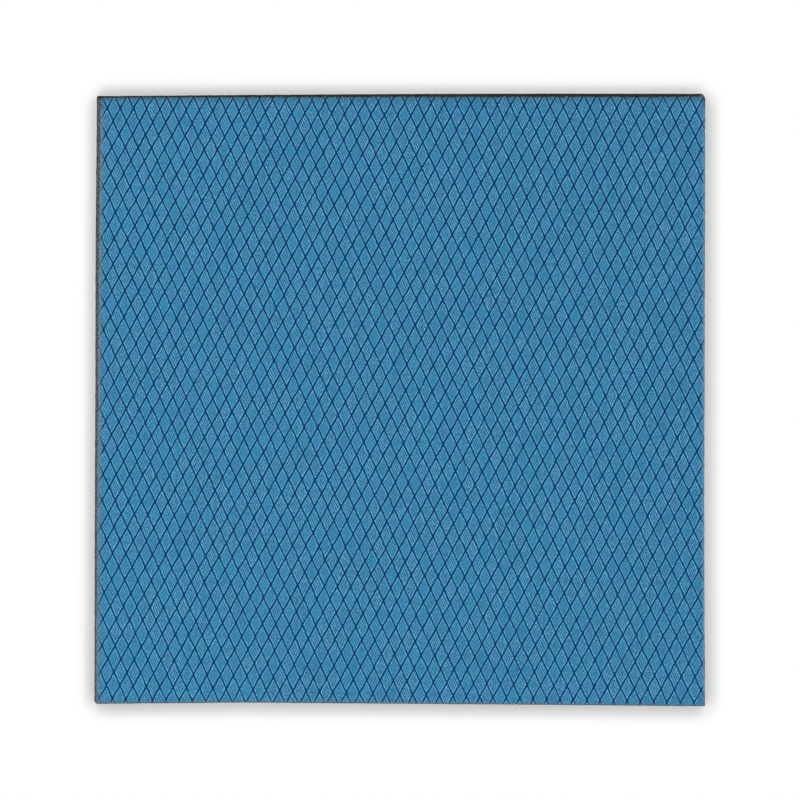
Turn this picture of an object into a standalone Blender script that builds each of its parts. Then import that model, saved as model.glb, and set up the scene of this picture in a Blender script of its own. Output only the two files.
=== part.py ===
"""A square of thermal gap pad as it is sold: a soft grey silicone pad between two peel-off films.

The upper film is blue and embossed, and the lower one is plain and clear. One stroke of a leaning
blade cuts all the layers together, so on two sides the foot of the cut stands out past its top.
Units are metres, +Z is up, and the origin is the centre of the sheet's underside.
"""

import math

import bmesh
import bpy
from mathutils import Vector

# Driving dimensions: the sheet, over its underside
SHEET_WIDTH = 0.1
SHEET_LENGTH = 0.1
CORNER_RADIUS = 0.0004
CORNER_STEPS = 6

# Driving dimensions: the layers
BACKING_THICKNESS = 0.0001
PAD_THICKNESS = 0.002
LINER_THICKNESS = 0.0002
FILM_GAP = 0.00002

# Driving dimensions: how far two of the walls lean in from upright, as the blade left them
LEFT_LEAN = math.radians(20)
BACK_LEAN = math.radians(16)

# Colours are linear, from the sheet's own tones
LINER_BLUE = (0.042, 0.185, 0.34, 1.0)
PAD_GREY = (0.095, 0.105, 0.115, 1.0)
BACKING_CLEAR = (0.72, 0.75, 0.77, 0.35)


def clear_scene():
    """Start from an empty scene."""
    for thing in list(bpy.data.objects):
        bpy.data.objects.remove(thing, do_unlink=True)


def finish(name, colour, roughness, metallic=0.0):
    """A Principled material, see-through where its colour's alpha is below one."""
    material = bpy.data.materials.new(name)
    material.use_nodes = True
    shader = material.node_tree.nodes["Principled BSDF"]
    shader.inputs["Base Color"].default_value = colour
    shader.inputs["Alpha"].default_value = colour[3]
    shader.inputs["Roughness"].default_value = roughness
    shader.inputs["Metallic"].default_value = metallic
    material.diffuse_color = colour
    return material


def cut_outline(height):
    """The cut edge at one height, as points that run anticlockwise round the sheet."""
    left = -SHEET_WIDTH / 2 + height * math.tan(LEFT_LEAN)
    right = SHEET_WIDTH / 2
    front = -SHEET_LENGTH / 2
    back = SHEET_LENGTH / 2 - height * math.tan(BACK_LEAN)
    arc_centres = (
        (right - CORNER_RADIUS, back - CORNER_RADIUS),
        (left + CORNER_RADIUS, back - CORNER_RADIUS),
        (left + CORNER_RADIUS, front + CORNER_RADIUS),
        (right - CORNER_RADIUS, front + CORNER_RADIUS),
    )
    points = []
    for quarter, (centre_x, centre_y) in enumerate(arc_centres):
        for step in range(CORNER_STEPS + 1):
            angle = (quarter + step / CORNER_STEPS) * math.pi / 2
            x = centre_x + CORNER_RADIUS * math.cos(angle)
            y = centre_y + CORNER_RADIUS * math.sin(angle)
            points.append(Vector((x, y, height)))
    return points


def layer(name, foot, thickness, material):
    """One layer of the sheet: its two faces follow the cut, and a wall joins them."""
    shape = bmesh.new()
    edges = []
    for height in (foot, foot + thickness):
        face = shape.faces.new([shape.verts.new(point) for point in cut_outline(height)])
        edges.extend(face.edges)
    bmesh.ops.bridge_loops(shape, edges=edges)
    bmesh.ops.recalc_face_normals(shape, faces=shape.faces)
    mesh = bpy.data.meshes.new(name)
    shape.to_mesh(mesh)
    shape.free()
    mesh.materials.append(material)
    piece = bpy.data.objects.new(name, mesh)
    bpy.context.scene.collection.objects.link(piece)
    return piece


def backing_liner():
    """The plain clear film on the underside, which the sheet lies on."""
    clear_film = finish("clear_film", BACKING_CLEAR, roughness=0.12)
    return layer("backing_liner", 0.0, BACKING_THICKNESS, clear_film)


def silicone_pad():
    """The pad itself, cast as one sheet."""
    grey_silicone = finish("grey_silicone", PAD_GREY, roughness=0.62)
    return layer("silicone_pad", BACKING_THICKNESS + FILM_GAP, PAD_THICKNESS, grey_silicone)


def embossed_liner():
    """The blue film on the top face, as thick as the film with its embossing."""
    blue_film = finish("blue_film", LINER_BLUE, roughness=0.42)
    pad_top = BACKING_THICKNESS + FILM_GAP + PAD_THICKNESS
    return layer("embossed_liner", pad_top + FILM_GAP, LINER_THICKNESS, blue_film)


def main():
    clear_scene()
    sheet = bpy.data.objects.new("thermal_pad_sheet", None)
    bpy.context.scene.collection.objects.link(sheet)
    for piece in (backing_liner(), silicone_pad(), embossed_liner()):
        piece.parent = sheet


main()
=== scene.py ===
"""A square of thermal gap pad, dressed for a close view from above.

Three pieces lie on each other, as they leave the cutter: a clear backing film, the grey silicone pad
that was cast on it, and a blue film whose diamonds are pressed into the pad's top face. All lengths
are metres, +Z is up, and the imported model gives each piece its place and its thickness.
"""

import math

import bmesh
import bpy
from bpy.props import FloatProperty, FloatVectorProperty, IntProperty, PointerProperty
from mathutils import Matrix, Vector, noise


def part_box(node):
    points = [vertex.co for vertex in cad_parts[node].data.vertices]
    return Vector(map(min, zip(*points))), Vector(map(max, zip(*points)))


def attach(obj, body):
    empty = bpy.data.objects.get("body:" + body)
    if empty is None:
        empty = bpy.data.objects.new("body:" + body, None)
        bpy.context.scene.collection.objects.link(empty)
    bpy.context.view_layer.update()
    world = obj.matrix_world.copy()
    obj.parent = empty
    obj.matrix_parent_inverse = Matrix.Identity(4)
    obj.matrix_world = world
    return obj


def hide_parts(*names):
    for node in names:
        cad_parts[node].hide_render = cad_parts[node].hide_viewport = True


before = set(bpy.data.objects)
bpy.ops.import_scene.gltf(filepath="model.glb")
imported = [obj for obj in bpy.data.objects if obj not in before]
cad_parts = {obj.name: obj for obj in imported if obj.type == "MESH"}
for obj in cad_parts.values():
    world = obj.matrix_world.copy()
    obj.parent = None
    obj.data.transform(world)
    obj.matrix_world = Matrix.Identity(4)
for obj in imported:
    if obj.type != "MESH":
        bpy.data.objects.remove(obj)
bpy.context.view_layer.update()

bl_info = {
    "name": "Thermal Pad Sheet",
    "version": (1, 0, 0),
    "blender": (4, 5, 0),
    "location": "3D Viewport > Sidebar > Thermal Pad",
    "description": "A thermal gap pad between an embossed blue film and a clear one",
    "category": "Object",
}

MM = 0.001

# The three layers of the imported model, which the pieces below stand for
EMBOSSED_LINER = "embossed_liner"
SILICONE_PAD = "silicone_pad"
BACKING_LINER = "backing_liner"
SHEET_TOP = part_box(EMBOSSED_LINER)[1].z
PAD_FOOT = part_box(SILICONE_PAD)[0].z
BACKING_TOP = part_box(BACKING_LINER)[1].z
HALF_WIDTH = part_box(BACKING_LINER)[1].x
HALF_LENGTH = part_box(BACKING_LINER)[1].y

# Points closer than this are one point, and points closer than this to a plane lie on it
WELD_DISTANCE = 0.001 * MM
PLANE_DISTANCE = 0.00001 * MM

# Planes from side to side of a rounded corner, and the bend from which an edge is drawn sharp
CORNER_FACETS = 6
SHARP_ANGLE = math.radians(60)

# How far the table lies under the sheet
TABLE_DROP = 0.01 * MM


def length(name, description, default):
    """A length that the panel shows."""
    return FloatProperty(
        name=name, description=description, default=default, unit="LENGTH", precision=5
    )


def angle(name, description, degrees):
    """An angle that the panel shows in degrees."""
    return FloatProperty(
        name=name, description=description, default=math.radians(degrees), subtype="ANGLE"
    )


def colour(name, description, default):
    """A linear colour that the panel shows as a swatch."""
    return FloatVectorProperty(
        name=name, description=description, default=default, subtype="COLOR", size=3, min=0, max=1
    )


def amount(name, description, default, low=0.0, high=10.0):
    """A plain number."""
    return FloatProperty(name=name, description=description, default=default, min=low, max=high)


def spot(name, description, x, y):
    """A place in the plane of the sheet."""
    return FloatVectorProperty(
        name=name, description=description, default=(x, y), size=2, subtype="XYZ", unit="LENGTH",
        precision=5,
    )


def outward(side, *millimetres):
    """How far out the foot of one side of the cut lies, from the true square."""
    return FloatVectorProperty(
        name=f"{side} Foot",
        description=f"Outward of the true square, at five places along the {side.lower()} side",
        default=[value * MM for value in millimetres],
        size=5,
        unit="LENGTH",
        precision=5,
    )


def leans(side, *degrees):
    """How far one side of the cut leans in from upright."""
    return FloatVectorProperty(
        name=f"{side} Lean",
        description=f"Inward from upright, at five places along the {side.lower()} side",
        default=[math.radians(value) for value in degrees],
        size=5,
        unit="ROTATION",
    )


class EmbossingSizes(bpy.types.PropertyGroup):
    """The blue film and the lattice of grooves pressed into it."""

    rising_pitch: length("Rising Pitch", "Across the grooves that rise to the right", 1.9315 * MM)
    rising_angle: angle("Rising Angle", "Of the rising grooves, from the width", 60.924)
    rising_shift: length("Rising Shift", "From the middle to the nearest rising groove", 0.500 * MM)
    falling_pitch: length("Falling Pitch", "Across the grooves that fall to the right", 1.9510 * MM)
    falling_angle: angle("Falling Angle", "Of the falling grooves, from the width", 114.522)
    falling_shift: length("Falling Shift", "From the middle to the nearest falling groove", -0.448 * MM)
    groove_depth: length("Groove Depth", "From a diamond's flat top down to a groove", 0.12 * MM)
    groove_half_width: length("Groove Half Width", "Where a groove is half as deep", 0.085 * MM)
    groove_reach: length("Groove Reach", "From a groove to where a diamond's top is flat", 0.56 * MM)
    rings: IntProperty(name="Rings", description="Steps from groove to flat top", default=4, min=1)
    weave_lines: IntProperty(
        name="Weave Lines", description="Fine lines from groove to groove", default=6
    )
    film_thickness: length("Film Thickness", "The same in the grooves and on the diamonds", 0.08 * MM)
    film_clearance: length("Film Clearance", "Between the film and the pad under it", 0.01 * MM)
    slack: length("Slack", "How far the film and the pad's face wander up and down", 0.03 * MM)
    slack_length: length("Slack Length", "Of one such wave", 17.0 * MM)
    wander: length("Wander", "How far a groove strays from its straight line", 0.15 * MM)
    wander_length: length("Wander Length", "From one such stray to the next", 1.3 * MM)


class CutSizes(bpy.types.PropertyGroup):
    """The cut edge, which is a little out of true and leans in on two sides.

    The five places run from front to back on the left and right, and from left to right on the others.
    """

    left_foot: outward("Left", -0.083, 0.016, 0.038, 0.119, 0.028)
    right_foot: outward("Right", -0.210, -0.215, -0.045, 0.150, 0.330)
    front_foot: outward("Front", 0.060, -0.180, -0.020, 0.145, 0.340)
    back_foot: outward("Back", 0.041, 0.172, 0.261, 0.245, 0.138)
    left_lean: leans("Left", 11.8, 14.2, 16.6, 18.7, 20.8)
    back_lean: leans("Back", 12.0, 14.8, 17.6, 18.9, 18.4)
    front_corner: length("Front Corner", "Radius of the corner at the front left", 0.40 * MM)
    back_corner: length("Back Corner", "Radius of the corner at the back right", 0.60 * MM)
    crisp_corner: length("Crisp Corner", "Radius of the two sharper corners", 0.14 * MM)
    droop: length("Droop", "How far the blade drags the edge of the top down", 0.05 * MM)
    droop_reach: length("Droop Reach", "How far in from the edge it does so", 0.3 * MM)
    bulge: length("Bulge", "How far the soft wall swells out between the films", 0.035 * MM)
    chatter: length("Chatter", "How far the blade's shake moves the cut", 0.035 * MM)
    chatter_length: length("Chatter Length", "Of one such shake", 0.9 * MM)
    fray: length("Fray", "How far the blue film's edge draws back from the cut, at most", 0.13 * MM)
    fray_length: length("Fray Length", "From one such place to the next", 0.42 * MM)


class FinishColours(bpy.types.PropertyGroup):
    """The colours of the three pieces, all linear."""

    film_blue: colour("Film Blue", "On the diamonds", (0.025, 0.195, 0.365))
    film_teal: colour("Film Teal", "Where the film turns greener", (0.015, 0.220, 0.346))
    film_violet: colour("Film Violet", "Where the film turns redder", (0.048, 0.175, 0.383))
    # Painted highlight on the film's finest ridges and on its shoulders, and painted shade between the
    # ridges
    film_highlight: colour("Film Pale", "On its finest ridges", (0.190, 0.430, 0.620))
    film_shade: colour("Film Shade", "Between its finest ridges", (0.000, 0.070, 0.190))
    # The groove colours: darker where the film lies on the dark pad, with painted shade in the recess
    groove_teal: colour("Groove Teal", "Down the sides of the grooves", (0.002, 0.168, 0.340))
    groove_navy: colour("Groove Navy", "In the bottom of the grooves", (0.000, 0.030, 0.102))
    bruise_grey: colour("Bruise Grey", "Where the blade rubbed the film", (0.155, 0.240, 0.290))
    bruise_pale: colour("Bruise Pale", "Where it is stretched at the right", (0.125, 0.285, 0.395))
    # Also painted shade along the film's back edge
    bruise_dark_and_shade: colour("Bruise Dark", "Where the blade pressed the film down", (0.052, 0.080, 0.085))
    bruise_dull: colour("Bruise Dull", "Where the film is creased at the front", (0.098, 0.160, 0.205))
    pad_grey: colour("Pad Grey", "The pad where the blade tore it", (0.120, 0.134, 0.148))
    # Also the painted shade on the pad's back wall and foot, and along the film's back edge
    pad_black_and_shade: colour("Pad Black", "The pad where the blade left it smooth", (0.004, 0.007, 0.011))
    filler_pale: colour("Filler Pale", "The ceramic grains in the pad", (0.300, 0.310, 0.320))
    backing_clear: colour("Backing Clear", "The clear film", (0.720, 0.750, 0.770))
    backing_dry: colour("Backing Dry", "The clear film over trapped air", (0.860, 0.880, 0.900))
    floor_white: colour("Floor White", "The table", (0.920, 0.920, 0.920))
    floor_cloud: colour("Floor Cloud", "Its faintest clouds", (0.800, 0.800, 0.800))


class StageSizes(bpy.types.PropertyGroup):
    """The camera, the light and the table."""

    view_width: length("View Width", "What the camera takes in at the height of the sheet", 130.86 * MM)
    lens: amount("Lens", "Focal length in millimetres, on a 36 mm sensor", 135.0, 1.0, 500.0)
    lean_right: angle("Lean Right", "Of the camera from straight above, to the right", 1.210)
    lean_front: angle("Lean Front", "Of the camera from straight above, to the front", 2.795)
    look_at: spot("Look At", "What is in the middle of the view", 0.227 * MM, -0.483 * MM)
    floor_width: length("Floor Width", "Of the table", 16.0)
    ring_strength: amount("Ring Strength", "Of the ring of light half way up, all round", 3.59)
    ring_bias: amount("Ring Bias", "How much stronger it is at the right and front", 0.06)
    ring_height: angle("Ring Height", "Of the middle of the ring, above the horizon", 41.0)
    ring_reach: angle("Ring Reach", "From the middle of the ring to where its light ends", 18.0)
    horizon_strength: amount("Horizon Strength", "Of the pale wall far behind the table", 0.8)
    horizon_top: angle("Horizon Top", "Where that wall ends", 8.0)
    horizon_full: angle("Horizon Full", "Up to where it is at its full strength", 3.0)


class ThermalPadSettings(bpy.types.PropertyGroup):
    """All the sheet's sizes and colours."""

    embossing: PointerProperty(type=EmbossingSizes, name="Embossing", description="The blue film")
    cut: PointerProperty(type=CutSizes, name="Cut", description="The cut edge")
    colours: PointerProperty(type=FinishColours, name="Colours", description="The finishes")
    stage: PointerProperty(type=StageSizes, name="Stage", description="Camera, light and table")


def find_socket(sockets, key):
    """A socket by its name or by its place among those in use."""
    in_use = [socket for socket in sockets if socket.enabled]
    if isinstance(key, int):
        return in_use[key]
    return next(socket for socket in in_use if socket.name == key)


class Wire:
    """A node's output. Arithmetic on it adds Math nodes to the same tree."""

    def __init__(self, bench, socket):
        self.bench = bench
        self.socket = socket

    def beside(self, key):
        """Another output of the same node."""
        return Wire(self.bench, find_socket(self.socket.node.outputs, key))

    def math(self, operation, *others):
        """This value through a Math node."""
        return self.bench.math(operation, self, *others)

    def clamped(self):
        """This value, kept between 0 and 1."""
        return self.math("MAXIMUM", 0.0).math("MINIMUM", 1.0)

    def __add__(self, other):
        return self.bench.math("ADD", self, other)

    def __radd__(self, other):
        return self.bench.math("ADD", other, self)

    def __sub__(self, other):
        return self.bench.math("SUBTRACT", self, other)

    def __rsub__(self, other):
        return self.bench.math("SUBTRACT", other, self)

    def __mul__(self, other):
        return self.bench.math("MULTIPLY", self, other)

    def __rmul__(self, other):
        return self.bench.math("MULTIPLY", other, self)

    def __truediv__(self, other):
        return self.bench.math("DIVIDE", self, other)

    def __rtruediv__(self, other):
        return self.bench.math("DIVIDE", other, self)


class Bench:
    """Adds nodes to one tree and joins them up."""

    def __init__(self, tree):
        self.tree = tree

    def node(self, kind, settings=None, inputs=None, output=0):
        """A node of one kind: its settings first, then the values or links of its sockets."""
        made = self.tree.nodes.new(kind)
        for name, value in (settings or {}).items():
            setattr(made, name, value)
        for key, value in (inputs or {}).items():
            self.plug(value, find_socket(made.inputs, key))
        if not made.outputs:
            return None
        return Wire(self, find_socket(made.outputs, output))

    def plug(self, value, socket):
        """Link a wire to a socket, or set a plain value on it."""
        if isinstance(value, Wire):
            self.tree.links.new(value.socket, socket)
        elif socket.type == "RGBA":
            socket.default_value = (*value, 1.0)
        else:
            socket.default_value = value

    def dress(self, shader, sockets):
        """Link or set a shader's sockets, by their names."""
        for name, value in sockets.items():
            self.plug(value, shader.inputs[name])

    def math(self, operation, *values):
        """One Math node."""
        return self.node("ShaderNodeMath", {"operation": operation}, dict(enumerate(values)))

    def vector_math(self, operation, *values, output=0):
        """One Vector Math node."""
        inputs = dict(enumerate(values))
        return self.node("ShaderNodeVectorMath", {"operation": operation}, inputs, output)

    def split(self, vector):
        """The three numbers of a vector or a colour."""
        first = self.node("ShaderNodeSeparateXYZ", inputs={0: vector})
        return first, first.beside("Y"), first.beside("Z")

    def scaled(self, vector, factor):
        """A vector times a number."""
        inputs = {"Vector": vector, "Scale": factor}
        return self.node("ShaderNodeVectorMath", {"operation": "SCALE"}, inputs)

    def stretched(self, place, scale, turn=(0.0, 0.0, 0.0)):
        """A place, for a texture whose marks are longer by a scale and turned."""
        inputs = {"Vector": place, "Rotation": turn, "Scale": scale}
        return self.node("ShaderNodeMapping", {"vector_type": "TEXTURE"}, inputs)

    def mixed(self, factor, first, second, blend="MIX"):
        """Two colours, mixed by a factor."""
        settings = {"data_type": "RGBA", "blend_type": blend}
        return self.node("ShaderNodeMix", settings, {"Factor": factor, "A": first, "B": second})

    def fade(self, value, start, end, low=0.0, high=1.0):
        """From low to high as a value goes from start to end, with soft ends."""
        inputs = {"Value": value, "From Min": start, "From Max": end, "To Min": low, "To Max": high}
        return self.node("ShaderNodeMapRange", {"interpolation_type": "SMOOTHSTEP"}, inputs)

    def noise(self, place, grain, detail=2.0, roughness=0.5):
        """Smooth noise between 0 and 1, whose grain is a length."""
        inputs = {"Vector": place, "Scale": 1 / grain, "Detail": detail, "Roughness": roughness}
        return self.node("ShaderNodeTexNoise", {"noise_dimensions": "3D"}, inputs)

    def stray(self, place, reach, grain):
        """A small step in the plane that changes smoothly over the sheet, the same in every tree."""
        inputs = {"Vector": place, "Scale": 1 / grain, "Detail": 0.0}
        pick = self.node("ShaderNodeTexNoise", {"noise_dimensions": "2D"}, inputs, output="Color")
        either_way = self.vector_math("SUBTRACT", pick, (0.5, 0.5, 0.5))
        return self.scaled(self.vector_math("MULTIPLY", either_way, (1, 1, 0)), reach)

    def bump(self, height, strength, distance):
        """A normal for relief that is too fine for the mesh."""
        inputs = {"Strength": strength, "Distance": distance, "Height": height}
        return self.node("ShaderNodeBump", inputs=inputs)


class GrooveFamily:
    """Parallel grooves across the sheet: their direction, pitch and place."""

    def __init__(self, pitch, heading, shift):
        self.pitch = pitch
        self.shift = shift
        self.along = Vector((math.cos(heading), math.sin(heading), 0))
        self.across = Vector((math.sin(heading), -math.cos(heading), 0))

    def step_along(self, other):
        """One pitch on across these grooves, but along the other family's."""
        return other.along * (self.pitch / self.across.dot(other.along))

    def count(self, bench, place):
        """How many grooves lie between a place and this family's first one, with its fraction."""
        turns = bench.vector_math("DOT_PRODUCT", place, self.across / self.pitch, output="Value")
        return turns - self.shift / self.pitch

    def distance(self, bench, place):
        """From a place to the nearest groove."""
        return self.count(bench, place).math("PINGPONG", 0.5) * self.pitch


def groove_families(embossing):
    """The two families whose grooves cross and leave the diamonds between them."""
    return (
        GrooveFamily(embossing.rising_pitch, embossing.rising_angle, embossing.rising_shift),
        GrooveFamily(embossing.falling_pitch, embossing.falling_angle, embossing.falling_shift),
    )


# The inputs of the Geometry Nodes tree, by their kind
EMBOSSING_INPUTS = {
    "NodeSocketVector": ("Rising Step", "Falling Step", "First Diamond"),
    "NodeSocketFloat": (
        "Rising Pitch", "Falling Pitch", "Groove Depth", "Groove Half Width", "Groove Reach",
        "Wander", "Wander Length", "Top", "Extent",
    ),
    "NodeSocketInt": ("Rings", "Rows"),
    "NodeSocketMaterial": ("Film",),
}


def embossing_tree():
    """Geometry Nodes that press one diamond and repeat it over a lattice of two groove families."""
    tree = bpy.data.node_groups.new("Diamond Embossing", "GeometryNodeTree")
    for kind, names in EMBOSSING_INPUTS.items():
        for name in names:
            tree.interface.new_socket(name, in_out="INPUT", socket_type=kind)
    tree.interface.new_socket("Geometry", in_out="OUTPUT", socket_type="NodeSocketGeometry")
    bench = Bench(tree)
    given = bench.node("NodeGroupInput")

    # One diamond starts as a four-sided tube, whose rings close in from the groove to the flat top
    tube = bench.node(
        "GeometryNodeMeshCylinder",
        {"fill_type": "NGON"},
        {"Vertices": 4, "Side Segments": given.beside("Rings"), "Radius": 1.0, "Depth": 1.0},
    )
    open_tube = bench.node(
        "GeometryNodeDeleteGeometry",
        {"domain": "FACE"},
        {"Geometry": tube, "Selection": tube.beside("Bottom")},
    )
    corner_x, corner_y, level = bench.split(bench.node("GeometryNodeInputPosition"))
    climb = level + 0.5
    from_groove = climb * climb * given.beside("Groove Reach")
    rising_share = (corner_x - corner_y) * (0.5 - from_groove / given.beside("Rising Pitch"))
    falling_share = (corner_x + corner_y) * (0.5 - from_groove / given.beside("Falling Pitch"))
    flat_place = bench.vector_math(
        "ADD",
        bench.scaled(given.beside("Rising Step"), rising_share),
        bench.scaled(given.beside("Falling Step"), falling_share),
    )
    widths_away = from_groove / given.beside("Groove Half Width")
    height = given.beside("Top") - given.beside("Groove Depth") / (1 + widths_away * widths_away)
    lifted = bench.vector_math(
        "ADD", flat_place, bench.node("ShaderNodeCombineXYZ", inputs={"Z": height})
    )
    diamond = bench.node("GeometryNodeSetPosition", inputs={"Geometry": open_tube, "Position": lifted})

    # The lattice: one point for each diamond, kept where the sheet will be
    rows = given.beside("Rows")
    grid = bench.node(
        "GeometryNodeMeshGrid",
        inputs={"Size X": rows - 1, "Size Y": rows - 1, "Vertices X": rows, "Vertices Y": rows},
    )
    rising_row, falling_row, _ = bench.split(bench.node("GeometryNodeInputPosition"))
    steps = bench.vector_math(
        "ADD",
        bench.scaled(given.beside("Rising Step"), rising_row),
        bench.scaled(given.beside("Falling Step"), falling_row),
    )
    centres = bench.vector_math("ADD", steps, given.beside("First Diamond"))
    lattice = bench.node("GeometryNodeSetPosition", inputs={"Geometry": grid, "Position": centres})
    x, y, _ = bench.split(bench.node("GeometryNodeInputPosition"))
    furthest = x.math("ABSOLUTE").math("MAXIMUM", y.math("ABSOLUTE"))
    outside = bench.node(
        "FunctionNodeCompare",
        {"data_type": "FLOAT", "operation": "GREATER_THAN"},
        {"A": furthest, "B": given.beside("Extent")},
    )
    kept = bench.node(
        "GeometryNodeDeleteGeometry", {"domain": "POINT"}, {"Geometry": lattice, "Selection": outside}
    )
    copies = bench.node("GeometryNodeInstanceOnPoints", inputs={"Points": kept, "Instance": diamond})
    real = bench.node("GeometryNodeRealizeInstances", inputs={"Geometry": copies})
    straight = bench.node("GeometryNodeInputPosition")
    stray = bench.stray(straight, given.beside("Wander"), given.beside("Wander Length"))
    strayed = bench.node("GeometryNodeSetPosition", inputs={"Geometry": real, "Offset": stray})
    painted = bench.node(
        "GeometryNodeSetMaterial", inputs={"Geometry": strayed, "Material": given.beside("Film")}
    )
    bench.node("NodeGroupOutput", inputs={"Geometry": painted})
    return tree


def pressed_face(name, top, material, embossing):
    """The embossed face as a plain mesh, a little larger than the sheet, its flats at one height."""
    rising, falling = groove_families(embossing)
    rising_step = rising.step_along(falling)
    falling_step = falling.step_along(rising)
    margin = max(rising_step.length, falling_step.length)
    half_diagonal = math.hypot(HALF_WIDTH, HALF_LENGTH) + margin
    first_diamond = rising_step * (0.5 + rising.shift / rising.pitch)
    first_diamond += falling_step * (0.5 + falling.shift / falling.pitch)
    values = {
        "Rising Step": rising_step,
        "Falling Step": falling_step,
        "First Diamond": first_diamond,
        "Rising Pitch": rising.pitch,
        "Falling Pitch": falling.pitch,
        "Groove Depth": embossing.groove_depth,
        "Groove Half Width": embossing.groove_half_width,
        "Groove Reach": embossing.groove_reach,
        "Wander": embossing.wander,
        "Wander Length": embossing.wander_length,
        "Rings": embossing.rings,
        "Top": top,
        "Extent": max(HALF_WIDTH, HALF_LENGTH) + margin,
        "Rows": 2 * math.ceil(half_diagonal / min(rising.pitch, falling.pitch)) + 1,
        "Film": material,
    }
    press = bpy.data.objects.new(name, bpy.data.meshes.new(name))
    bpy.context.scene.collection.objects.link(press)
    modifier = press.modifiers.new("Embossing", "NODES")
    modifier.node_group = embossing_tree()
    for item in modifier.node_group.interface.items_tree:
        if item.in_out == "INPUT":
            modifier[item.identifier] = values[item.name]
    bpy.context.view_layer.update()
    evaluated = press.evaluated_get(bpy.context.evaluated_depsgraph_get())
    mesh = bpy.data.meshes.new_from_object(evaluated)
    bpy.data.objects.remove(press)
    return mesh


# Which way the front, right, back and left sides of the sheet face
OUTWARD = ((0, -1, 0), (1, 0, 0), (0, 1, 0), (-1, 0, 0))


class CutOutline:
    """The blade's line round the sheet at one height: a square, bent a little out of true."""

    def __init__(self, cut, height):
        self.radii = (cut.front_corner, cut.crisp_corner, cut.back_corner, cut.crisp_corner)
        self.left = [height * math.tan(lean) - foot for foot, lean in zip(cut.left_foot, cut.left_lean)]
        self.right = list(cut.right_foot)
        self.front = [-foot for foot in cut.front_foot]
        self.back = [foot - height * math.tan(lean) for foot, lean in zip(cut.back_foot, cut.back_lean)]

    def bend(self, point):
        """How far the bent outline lies from the true square, shared out over the sheet between."""
        across = min(max(point.x / (2 * HALF_WIDTH) + 0.5, 0), 1)
        along = min(max(point.y / (2 * HALF_LENGTH) + 0.5, 0), 1)
        return Vector((
            at_station(self.left, along) * (1 - across) + at_station(self.right, along) * across,
            at_station(self.front, across) * (1 - along) + at_station(self.back, across) * along,
            0,
        ))

    def straightened(self, point):
        """Where a point lies once the outline is a true square."""
        return point - self.bend(point)

    def bent(self, point):
        """The way back from there."""
        return point + self.bend(point + self.bend(point))

    def sides(self):
        """A point and the outward direction of each side, from the front left corner on."""
        for before, after in zip(OUTWARD[-1:] + OUTWARD[:-1], OUTWARD):
            towards = Vector(before) + Vector(after)
            yield Vector((towards.x * HALF_WIDTH, towards.y * HALF_LENGTH, 0)), Vector(after)

    def planes(self):
        """Planes that trim a straightened face: its four sides, and a few round each corner."""
        yield from self.sides()
        before = Vector(OUTWARD[-1])
        for (point, after), radius in zip(self.sides(), self.radii):
            centre = point - (before + after) * radius
            for facet in range(1, CORNER_FACETS):
                normal = before.slerp(after, facet / CORNER_FACETS)
                yield centre + normal * radius, normal
            before = after

    def nearest_side(self, point):
        """How far inside the outline a point lies, and the outward direction of the side next to it."""
        square = self.straightened(point)
        depths = (
            HALF_LENGTH + square.y,
            HALF_WIDTH - square.x,
            HALF_LENGTH - square.y,
            HALF_WIDTH + square.x,
        )
        side = depths.index(min(depths))
        return depths[side], Vector(OUTWARD[side])


def at_station(stations, share):
    """A value between those given at even steps along a side."""
    reach = share * (len(stations) - 1)
    first = min(int(reach), len(stations) - 2)
    return stations[first] + (stations[first + 1] - stations[first]) * (reach - first)


def shaken(point, outline, cut):
    """A point of the cut, moved in or out by the shake of the blade."""
    shake = cut.chatter * noise.noise(point / cut.chatter_length)
    return point + outline.nearest_side(point)[1] * shake


def slice_along(shape, point, normal, drop_outside):
    """Score an open face along a plane, and drop what lies outside it where that is asked."""
    bmesh.ops.bisect_plane(
        shape, geom=[*shape.verts, *shape.edges, *shape.faces], dist=PLANE_DISTANCE,
        plane_co=point, plane_no=normal, clear_outer=drop_outside,
    )


def trim(shape, outline, rim):
    """Join an open face up, cut it to the outline, and score a line that follows the cut further in."""
    bmesh.ops.remove_doubles(shape, verts=shape.verts, dist=WELD_DISTANCE)
    for vert in shape.verts:
        vert.co = outline.straightened(vert.co)
    for point, normal in outline.sides():
        slice_along(shape, point - normal * rim, normal, drop_outside=False)
    for point, normal in outline.planes():
        slice_along(shape, point, normal, drop_outside=True)
    for vert in shape.verts:
        vert.co = outline.bent(vert.co)
    edge = [edge for edge in shape.edges if edge.is_boundary]
    bmesh.ops.subdivide_edges(shape, edges=edge, cuts=1)


def settle(shape, outline, embossing, cut):
    """Let an open face wander up and down a little, and droop at its edge."""
    for vert in shape.verts:
        wave = noise.noise(Vector((vert.co.x, vert.co.y, 0)) / embossing.slack_length)
        inside = max(outline.nearest_side(vert.co)[0], 0)
        share = max(1 - inside / cut.droop_reach, 0)
        vert.co.z += embossing.slack * wave - cut.droop * share * share


def thicken(shape, thickness):
    """Close an open face into a film, by a copy of it straight below and a strip round the edge."""
    made = bmesh.ops.extrude_face_region(shape, geom=list(shape.faces))
    upper = [item for item in made["geom"] if isinstance(item, bmesh.types.BMVert)]
    bmesh.ops.translate(shape, verts=list(shape.verts), vec=(0, 0, -thickness))
    bmesh.ops.translate(shape, verts=upper, vec=(0, 0, thickness))
    bmesh.ops.recalc_face_normals(shape, faces=shape.faces)
    if shape.calc_volume(signed=True) < 0:
        bmesh.ops.reverse_faces(shape, faces=shape.faces)


def edge_distance(mesh, outline):
    """Store how far each point lies from the cut edge, in millimetres, for the material."""
    distances = [max(outline.nearest_side(vert.co)[0], 0) / MM for vert in mesh.vertices]
    attribute = mesh.attributes.new("edge_distance", "FLOAT", "POINT")
    attribute.data.foreach_set("value", distances)


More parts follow.
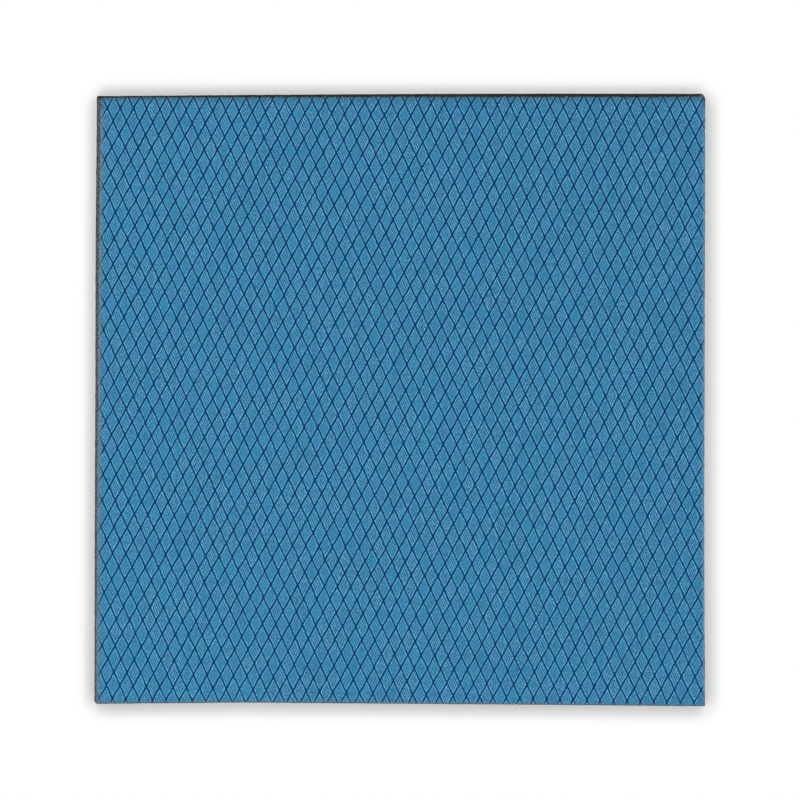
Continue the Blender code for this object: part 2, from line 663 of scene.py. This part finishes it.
def finished_piece(name, shape, material, node):
    """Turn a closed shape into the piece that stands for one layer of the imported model."""
    mesh = bpy.data.meshes.new(name)
    shape.to_mesh(mesh)
    shape.free()
    mesh.materials.clear()
    mesh.materials.append(material)
    mesh.shade_smooth()
    mesh.set_sharp_from_angle(angle=SHARP_ANGLE)
    piece = bpy.data.objects.new(name, mesh)
    bpy.context.scene.collection.objects.link(piece)
    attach(piece, "root")
    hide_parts(node)
    return piece


def new_finish(name):
    """A material to paint, with its bench and its Principled shader."""
    material = bpy.data.materials.new(name)
    material.use_nodes = True
    bench = Bench(material.node_tree)
    return material, bench, material.node_tree.nodes["Principled BSDF"]


# The grain of each texture on the blue film
HUE_GRAIN = 1.3 * MM
WEAVE_GRAIN = 0.5 * MM
GRIT_GRAIN = 0.12 * MM
CLOUD_GRAIN = 22 * MM
BLOTCH_GRAIN = 0.25 * MM
WEAR_GRAIN = 0.7 * MM
CRUMB_GRAIN = 0.16 * MM

# How far from the middle of a groove each band beside it begins, and where it is full: a painted
# highlight on the shoulder, then bands that darken into the groove, partly where the film lies on the
# dark pad and partly painted shade
SHOULDER_OUTSIDE = (0.36 * MM, 0.20 * MM)
SHOULDER_INSIDE = (0.07 * MM, 0.16 * MM)
TEAL_BAND = (0.21 * MM, 0.09 * MM)
RISING_DARK = (0.17 * MM, 0.05 * MM)
FALLING_DARK = (0.16 * MM, 0.05 * MM)
CROSSING_DARK = (0.42 * MM, 0.20 * MM)

# How much wider the groove dark, partly painted shade, gets in uneven patches, and towards the back
UNEVEN_WIDTH = 0.10 * MM
SPREAD = 0.010 * MM

# Strips along the sides, as shares of the way from the middle: where each begins, and where it is full
BACK_STRIP = (0.94, 0.96)
LEFT_STRIP = (-0.96, -0.98)
FRONT_STRIP = (-0.96, -0.98)

# How far in from the cut, in millimetres, each mark begins, and where it is full: the blade's speckles
# and rub, and two bands of painted shade along the back
SPECKLED = (1.45, 0.75)
BRUISED = (1.05, 0.45)
BACK_EDGE_SHADE = (1.5, 0.2)
BACK_EDGE_DEEP_SHADE = (0.68, 0.32)


class FilmPoint:
    """What the film's paint goes by: a point's place, the grooves near it and the wear there."""

    def __init__(self, bench, embossing):
        self.place = bench.node("ShaderNodeTexCoord", output="Object")
        stray = bench.stray(self.place, embossing.wander, embossing.wander_length)
        pressed = bench.vector_math("SUBTRACT", self.place, stray)
        rising, falling = groove_families(embossing)
        self.from_rising = rising.distance(bench, pressed)
        self.from_falling = falling.distance(bench, pressed)
        self.rising_count = rising.count(bench, pressed)
        self.falling_count = falling.count(bench, pressed)
        x, y, _ = bench.split(self.place)
        self.across = x / HALF_WIDTH
        self.along = y / HALF_LENGTH
        self.blotches = bench.noise(self.place, BLOTCH_GRAIN, detail=1.0)
        self.wear = bench.noise(self.place, WEAR_GRAIN, detail=3.0)


def diamond_paint(bench, point, embossing, colours):
    """The film's blue with its grit and texture, each diamond in its own tone, with painted glints and
    shade on its fine grain and a painted light falloff over the sheet.
    """
    diamond = bench.node(
        "ShaderNodeCombineXYZ",
        inputs={"X": point.rising_count.math("FLOOR"), "Y": point.falling_count.math("FLOOR")},
    )
    chance = bench.node(
        "ShaderNodeTexWhiteNoise", {"noise_dimensions": "2D"}, {"Vector": diamond}, "Color"
    )
    own_tone, own_texture, own_weave = bench.split(chance)

    # Hue wanders between teal and violet, in patches about as large as a diamond
    hue = bench.noise(point.place, HUE_GRAIN, detail=1.0)
    blue = bench.mixed(bench.fade(hue, 0.35, 0.65), colours.film_teal, colours.film_violet)
    blue = bench.mixed(0.55, blue, colours.film_blue)

    # A fine weave runs with one groove family or the other, stronger on some diamonds, with grit on it
    turn = 2 * math.pi * embossing.weave_lines
    with_falling = bench.fade(own_weave, 0.25, 0.55)
    patchy = bench.noise(point.place, WEAVE_GRAIN, detail=1.0)
    unsteady = patchy * 4.0
    rising_weave = bench.math("SINE", point.rising_count * turn + unsteady) * (1 - with_falling)
    falling_weave = bench.math("SINE", point.falling_count * turn + unsteady) * with_falling
    grit = bench.noise(point.place, GRIT_GRAIN, detail=1.0, roughness=0.6) - 0.5
    texture = (rising_weave + falling_weave) * patchy * 1.6 + grit * 6.0
    texture = texture * (0.5 + own_texture * 0.8)

    # Painted light falloff: the sheet is a little darker to the right and the back, with broad clouds
    cloud = bench.noise(point.place, CLOUD_GRAIN) - 0.5
    tone = 1.0 + (own_tone - 0.5) * 0.12 + cloud * 0.10 - point.across * 0.06 - point.along * 0.02
    grey_tone = bench.node("ShaderNodeCombineXYZ", inputs={0: tone, 1: tone, 2: tone})
    blue = bench.mixed(1.0, blue, grey_tone, "MULTIPLY")
    # The grain itself is the film's own; painting it pale on its ridges and dark between them is
    # painted glint and shade
    blue = bench.mixed((texture * 0.45).clamped(), blue, colours.film_highlight)
    blue = bench.mixed((texture * -0.75).clamped(), blue, colours.film_shade)
    return blue, grit, texture


def groove_paint(bench, point, blue, colours):
    """Painted highlights on the shoulders in places, and grooves that hold the dark: the film on the
    dark pad, deepened by painted shade.
    """
    nearest = point.from_rising.math("MINIMUM", point.from_falling)
    shoulder = bench.fade(nearest, *SHOULDER_OUTSIDE) * bench.fade(nearest, *SHOULDER_INSIDE)
    # Painted highlight: pale patches on the shoulders beside the grooves
    shoulder_highlight = shoulder * bench.fade(point.blotches, 0.42, 0.72, 0.06, 0.95)
    blue = bench.mixed(shoulder_highlight, blue, colours.film_highlight)
    blue = bench.mixed(bench.fade(nearest, *TEAL_BAND) * 0.9, blue, colours.groove_teal)

    # Uneven patches widen the dark of one family where they narrow the other's, and wipe it out in
    # places; the crossings get the deepest painted shade
    uneven_width = (point.wear - 0.5) * UNEVEN_WIDTH
    spread = point.along * SPREAD
    rising_dark = bench.fade(point.from_rising + uneven_width - spread, *RISING_DARK)
    rising_dark = rising_dark * bench.fade(point.wear, 0.75, 0.6, 0.75, 1.0)
    falling_dark = bench.fade(point.from_falling - uneven_width - spread, *FALLING_DARK)
    falling_dark = falling_dark * bench.fade(point.wear, 0.25, 0.4, 0.7, 1.0)
    crossing_dark = bench.fade(point.from_rising + point.from_falling, *CROSSING_DARK) * 0.8
    dark = rising_dark.math("MAXIMUM", falling_dark * 0.92).math("MAXIMUM", crossing_dark)
    return bench.mixed(dark, blue, colours.groove_navy), dark


def cut_paint(bench, point, blue, colours):
    """The blade's marks: speckles at the left and a grey rub along the cut; along the back, painted
    shade darkens the film next to the cut.
    """
    edge = bench.node("ShaderNodeAttribute", {"attribute_name": "edge_distance"}, output="Fac")
    at_left = bench.fade(point.across, *LEFT_STRIP)
    at_back = bench.fade(point.along, *BACK_STRIP)
    speckled = bench.fade(edge + point.blotches * 0.7, *SPECKLED) * at_left
    crumbs = bench.noise(point.place, CRUMB_GRAIN, detail=1.0)
    blue = bench.mixed(speckled * bench.fade(crumbs, 0.46, 0.60) * 0.75, blue, colours.bruise_grey)

    # The rub is paler to the right and duller at the front
    to_right = bench.fade(point.across, -0.5, 0.5)
    bruised = bench.mixed(to_right, colours.bruise_grey, colours.bruise_pale)
    bruised = bench.mixed(bench.fade(point.along, *FRONT_STRIP), bruised, colours.bruise_dull)
    bruise = bench.fade(edge + point.wear * 0.3 + point.blotches * 0.7, *BRUISED) * (1 - at_back)
    blue = bench.mixed(bruise * 0.95, blue, bruised)
    blue = bench.mixed(speckled * bench.fade(crumbs, 0.46, 0.32) * 0.8, blue, colours.bruise_dark_and_shade)

    # Painted shade along the back edge, darkest right at the cut, where the film is painted the pad's
    # black
    back_edge_shade = bench.fade(edge + point.wear * 0.6, *BACK_EDGE_SHADE) * at_back
    blue = bench.mixed(back_edge_shade * 0.58, blue, colours.bruise_dark_and_shade)
    torn = bench.fade(edge + point.blotches * 0.9, *BACK_EDGE_DEEP_SHADE) * at_back
    return bench.mixed(torn * 0.85, blue, colours.pad_black_and_shade)


def blue_film(embossing, colours):
    """Satin blue film, whose diamonds have a thin gloss that the navy grooves lack."""
    material, bench, shader = new_finish("blue_film")
    point = FilmPoint(bench, embossing)
    blue, grit, texture = diamond_paint(bench, point, embossing, colours)
    blue, dark = groove_paint(bench, point, blue, colours)
    bench.dress(shader, {
        "Base Color": cut_paint(bench, point, blue, colours),
        "Roughness": 0.50 + grit * 0.4 + dark * 0.25,
        "Specular IOR Level": 0.02,
        "Coat Weight": (1 - dark) * 0.22,
        "Coat Roughness": 0.35,
        "Normal": bench.bump(texture, 0.35, 0.012 * MM),
    })
    return material


# The grain of each texture on the pad, and how much longer the blade's marks are one way
DRAG_GRAIN = 0.16 * MM
DRAG_STRETCH = (9.0, 9.0, 1.0)
TEAR_GRAIN = 0.18 * MM
TEAR_STRETCH = (1.0, 1.0, 6.0)
FILLER_GRAIN = 0.22 * MM
MOTTLE_GRAIN = 0.55 * MM

# How far in from a side, or up from the table, each look begins, and where it is full; the dark back
# and the dark foot are painted shade
RAGGED_LEFT = (1.6 * MM, 1.2 * MM)
DARK_BACK = (1.2 * MM, 0.9 * MM)
BACK_CORNERS = (0.1 * MM, -0.1 * MM)
DARK_FOOT = (0.7 * MM, 0.3 * MM)


def grey_silicone(colours):
    """Matte silicone full of ceramic grains, torn pale by the blade, with painted shade on the back
    wall and at the foot of the walls.
    """
    material, bench, shader = new_finish("grey_silicone")
    place = bench.node("ShaderNodeTexCoord", output="Object")
    x, y, height = bench.split(place)
    mottle = bench.noise(place, MOTTLE_GRAIN, detail=4.0, roughness=0.6)
    filler = bench.node(
        "ShaderNodeTexVoronoi", {"feature": "F1"}, {"Vector": place, "Scale": 1 / FILLER_GRAIN}
    )
    speck = bench.fade(filler, 0.28, 0.16)
    grey = bench.mixed(bench.fade(mottle, 0.42, 0.62) * 0.4, colours.pad_grey, colours.pad_black_and_shade)
    grey = bench.mixed(speck * 0.5, grey, colours.filler_pale)

    # The blade tore the soft wall, most at the left, in pits and crumbs drawn out from top to foot
    tears = bench.noise(bench.stretched(place, TEAR_STRETCH), TEAR_GRAIN, detail=1.0)
    ragged = bench.fade(x + HALF_WIDTH, *RAGGED_LEFT, 0.22, 0.9)
    grey = bench.mixed(bench.fade(tears, 0.52, 0.60) * ragged, grey, colours.pad_black_and_shade)
    grey = bench.mixed(bench.fade(tears, 0.44, 0.34) * ragged * 0.6, grey, colours.filler_pale)

    # It travelled along the walls, so its own marks are long and low
    drag = bench.noise(bench.stretched(place, DRAG_STRETCH), DRAG_GRAIN, detail=3.0, roughness=0.6)
    grey = bench.mixed(bench.fade(drag, 0.52, 0.72) * 0.6, grey, colours.pad_black_and_shade)

    # Painted shade: the back wall is dark and a little smoother with few paler spots, and so is the
    # foot of every wall, as a contact shadow
    from_sides = HALF_WIDTH - x.math("ABSOLUTE")
    from_back = HALF_LENGTH - y
    at_back = bench.fade(from_back - from_sides, *BACK_CORNERS) * bench.fade(from_back, *DARK_BACK)
    back_shade_depth = bench.fade(mottle + tears * 0.5, 0.85, 0.60, 0.78, 0.99)
    smooth = (at_back * back_shade_depth).math("MAXIMUM", bench.fade(height, *DARK_FOOT) * 0.8)
    bench.dress(shader, {
        "Base Color": bench.mixed(smooth, grey, colours.pad_black_and_shade),
        "Roughness": 0.82 - smooth * 0.15 - speck * 0.1,
        "Specular IOR Level": 0.015,
        "Normal": bench.bump(drag + mottle * 0.6 + speck * 0.3, 0.6, 0.03 * MM),
    })
    return material


# The grain of each texture on the clear film, and how its scratches run
DRY_GRAIN = 9 * MM
SCRATCH_GRAIN = 0.5 * MM
SCRATCH_STRETCH = (40.0, 1.0, 1.0)
SCRATCH_TURN = (0.0, 0.0, 0.4)


def clear_film(colours):
    """Clear glossy film: nearly see-through where the silicone wets it, and paler over trapped air."""
    material, bench, shader = new_finish("clear_film")
    place = bench.node("ShaderNodeTexCoord", output="Object")
    patches = bench.noise(place, DRY_GRAIN, detail=4.0, roughness=0.6)
    dry = bench.fade(patches, 0.50, 0.60)
    scratch_place = bench.stretched(place, SCRATCH_STRETCH, SCRATCH_TURN)
    scratches = bench.fade(bench.noise(scratch_place, SCRATCH_GRAIN), 0.62, 0.75)
    bench.dress(shader, {
        "Base Color": bench.mixed(dry * 0.5, colours.backing_clear, colours.backing_dry),
        "Alpha": 0.22 + dry * 0.18 + scratches * 0.1,
        "Roughness": 0.10 + dry * 0.08 + scratches * 0.3,
        "IOR": 1.57,
        "Normal": bench.bump(patches + scratches * 0.2, 0.4, 0.02 * MM),
    })
    return material


def table_white(colours):
    """A plain matte white table top, with the faintest clouds."""
    material, bench, shader = new_finish("table_white")
    cloud = bench.noise(bench.node("ShaderNodeTexCoord", output="Object"), 40 * MM)
    bench.dress(shader, {
        "Base Color": bench.mixed(cloud * 0.02, colours.floor_white, colours.floor_cloud),
        "Roughness": 0.9,
        "Specular IOR Level": 0.0,
    })
    return material


def rim_points(shape):
    """The points round the edge of an open face, in order, with the face on their left."""
    following = {}
    for edge in shape.edges:
        if edge.is_boundary:
            loop = edge.link_loops[0]
            following[loop.vert] = loop.link_loop_next.vert
    ring = [next(iter(following))]
    while following[ring[-1]] is not ring[0]:
        ring.append(following[ring[-1]])
    return ring


def roughen(shape, outline, cut, fray=0.0):
    """Move the edge of an open face in and out with the shake of the blade, and fray it inward."""
    for vert in rim_points(shape):
        torn = 0.5 + noise.noise(vert.co / cut.fray_length)
        inward = -outline.nearest_side(vert.co)[1]
        vert.co = shaken(vert.co, outline, cut) + inward * (fray * min(max(torn, 0), 1))


def pull_walls_down(shape, outline, foot, cut, drops):
    """Draw the edge of the top face down to the foot of the pad, ring by ring, and close it there."""
    ring = rim_points(shape)
    tops = [vert.co.copy() for vert in ring]
    roughen(shape, outline, cut)
    for drop in drops:
        lower = []
        for top in tops:
            point = top + (foot.bend(top) - outline.bend(top)) * drop
            point.z += (PAD_FOOT - top.z) * drop
            swell = outline.nearest_side(top)[1] * (cut.bulge * 4 * drop * (1 - drop))
            lower.append(shape.verts.new(shaken(point, outline, cut) + swell))
        for index in range(len(ring)):
            shape.faces.new((ring[index], ring[index - 1], lower[index - 1], lower[index]))
        ring = lower
    shape.faces.new(reversed(ring))


class THERMALPAD_OT_embossed_film(bpy.types.Operator):
    """Press the lattice of diamonds into the blue film and cut it to the sheet"""

    bl_idname = "thermal_pad.embossed_film"
    bl_label = "Embossed Film"

    def execute(self, context):
        settings = context.scene.thermal_pad
        embossing = settings.embossing
        material = blue_film(embossing, settings.colours)
        outline = CutOutline(settings.cut, SHEET_TOP)
        shape = bmesh.new()
        shape.from_mesh(pressed_face("film_face", SHEET_TOP, material, embossing))
        trim(shape, outline, settings.cut.droop_reach)
        settle(shape, outline, embossing, settings.cut)
        roughen(shape, outline, settings.cut, settings.cut.fray)
        thicken(shape, embossing.film_thickness)
        film = finished_piece("blue_embossed_film", shape, material, EMBOSSED_LINER)
        edge_distance(film.data, outline)
        return {"FINISHED"}


class THERMALPAD_OT_silicone_pad(bpy.types.Operator):
    """Cast the soft pad, with the diamonds in its face and the blade's marks on its walls"""

    bl_idname = "thermal_pad.silicone_pad"
    bl_label = "Silicone Pad"

    # How far down the wall each ring of points lies, as a share
    ring_drops = (0.04, 0.14, 0.32, 0.5, 0.68, 0.86, 0.96, 1.0)

    def execute(self, context):
        settings = context.scene.thermal_pad
        embossing = settings.embossing
        material = grey_silicone(settings.colours)
        top = SHEET_TOP - embossing.film_thickness - embossing.film_clearance
        outline = CutOutline(settings.cut, top)
        shape = bmesh.new()
        shape.from_mesh(pressed_face("pad_face", top, material, embossing))
        trim(shape, outline, settings.cut.droop_reach)
        settle(shape, outline, embossing, settings.cut)
        foot = CutOutline(settings.cut, PAD_FOOT)
        pull_walls_down(shape, outline, foot, settings.cut, self.ring_drops)
        finished_piece("grey_silicone_pad", shape, material, SILICONE_PAD)
        return {"FINISHED"}


class THERMALPAD_OT_backing_film(bpy.types.Operator):
    """Lay the clear film under the pad"""

    bl_idname = "thermal_pad.backing_film"
    bl_label = "Backing Film"

    # Before the cut: how many squares it has along a side, and how much larger than the sheet it is
    squares = 48
    excess = 1.02

    def execute(self, context):
        settings = context.scene.thermal_pad
        material = clear_film(settings.colours)
        outline = CutOutline(settings.cut, BACKING_TOP)
        shape = bmesh.new()
        half = max(HALF_WIDTH, HALF_LENGTH) * self.excess
        bmesh.ops.create_grid(shape, x_segments=self.squares, y_segments=self.squares, size=half)
        trim(shape, outline, settings.cut.droop_reach)
        roughen(shape, outline, settings.cut)
        bmesh.ops.translate(shape, verts=shape.verts, vec=(0, 0, BACKING_TOP))
        thicken(shape, BACKING_TOP)
        finished_piece("clear_backing_film", shape, material, BACKING_LINER)
        return {"FINISHED"}


def lay_table(settings):
    """A broad white table just under the sheet."""
    half = settings.stage.floor_width / 2
    shape = bmesh.new()
    bmesh.ops.create_grid(shape, x_segments=1, y_segments=1, size=half)
    bmesh.ops.translate(shape, verts=shape.verts, vec=(0, 0, -TABLE_DROP))
    mesh = bpy.data.meshes.new("table")
    shape.to_mesh(mesh)
    shape.free()
    mesh.materials.append(table_white(settings.colours))
    table = bpy.data.objects.new("table", mesh)
    bpy.context.scene.collection.objects.link(table)


def hang_light(stage):
    """A soft ring of light half way up the sky, over a pale far wall."""
    world = bpy.data.worlds.new("light_ring")
    world.use_nodes = True
    bench = Bench(world.node_tree)
    direction = bench.node("ShaderNodeTexCoord", output="Generated")
    _, _, upward = bench.split(direction)
    elevation = upward.math("ARCSINE")
    from_ring = (elevation - stage.ring_height).math("ABSOLUTE")
    ring = bench.fade(from_ring, stage.ring_reach, 0, 0, stage.ring_strength)
    towards = (stage.ring_bias, -stage.ring_bias, 0)
    bias = bench.vector_math("DOT_PRODUCT", direction, towards, output="Value")
    wall = bench.fade(elevation, stage.horizon_top, stage.horizon_full, 0, stage.horizon_strength)
    background = world.node_tree.nodes["Background"]
    bench.dress(background, {"Color": (1.0, 1.0, 1.0), "Strength": ring * (1 + bias) + wall})
    bpy.context.scene.world = world


def set_camera(stage):
    """A long lens almost straight above, leaning a little to the right and to the front."""
    lens = bpy.data.cameras.new("camera")
    lens.lens = stage.lens
    lens.clip_start = 0.01
    lens.clip_end = 50.0
    back = Vector((math.sin(stage.lean_right), -math.sin(stage.lean_front), 0))
    back.z = math.sqrt(1 - back.length_squared)
    right = Vector((0, 1, 0)).cross(back).normalized()
    up = back.cross(right)
    middle = Vector((stage.look_at[0], stage.look_at[1], SHEET_TOP))
    place = middle + back * (stage.view_width * stage.lens / lens.sensor_width)
    turn = Matrix((right, up, back)).transposed().to_4x4()
    camera = bpy.data.objects.new("camera", lens)
    camera.matrix_world = Matrix.Translation(place) @ turn
    bpy.context.scene.collection.objects.link(camera)
    bpy.context.scene.camera = camera


class THERMALPAD_OT_stage(bpy.types.Operator):
    """Set up the table, the light and the camera"""

    bl_idname = "thermal_pad.stage"
    bl_label = "Stage"

    def execute(self, context):
        settings = context.scene.thermal_pad
        lay_table(settings)
        hang_light(settings.stage)
        set_camera(settings.stage)
        context.scene.view_settings.view_transform = "Standard"
        return {"FINISHED"}


class THERMALPAD_PT_sidebar(bpy.types.Panel):
    """The steps that make the sheet, and its sizes and colours"""

    bl_idname = "THERMALPAD_PT_sidebar"
    bl_label = "Thermal Pad"
    bl_space_type = "VIEW_3D"
    bl_region_type = "UI"
    bl_category = "Thermal Pad"

    def draw(self, context):
        layout = self.layout
        for operator in OPERATORS:
            layout.operator(operator.bl_idname)
        settings = context.scene.thermal_pad
        for group in (settings.embossing, settings.cut, settings.colours, settings.stage):
            box = layout.box()
            for name in group.__annotations__:
                box.prop(group, name)


OPERATORS = (
    THERMALPAD_OT_stage,
    THERMALPAD_OT_backing_film,
    THERMALPAD_OT_silicone_pad,
    THERMALPAD_OT_embossed_film,
)
CLASSES = (
    EmbossingSizes,
    CutSizes,
    FinishColours,
    StageSizes,
    ThermalPadSettings,
    *OPERATORS,
    THERMALPAD_PT_sidebar,
)


def register():
    """Add the panel, the operators and the settings."""
    for registered in CLASSES:
        bpy.utils.register_class(registered)
    bpy.types.Scene.thermal_pad = PointerProperty(type=ThermalPadSettings)


def unregister():
    """Take them away again."""
    del bpy.types.Scene.thermal_pad
    for registered in reversed(CLASSES):
        bpy.utils.unregister_class(registered)


def main():
    """Set the stage and lay the three pieces on it."""
    register()
    bpy.ops.thermal_pad.stage()
    bpy.ops.thermal_pad.backing_film()
    bpy.ops.thermal_pad.silicone_pad()
    bpy.ops.thermal_pad.embossed_film()


if __name__ == "__main__":
    main()
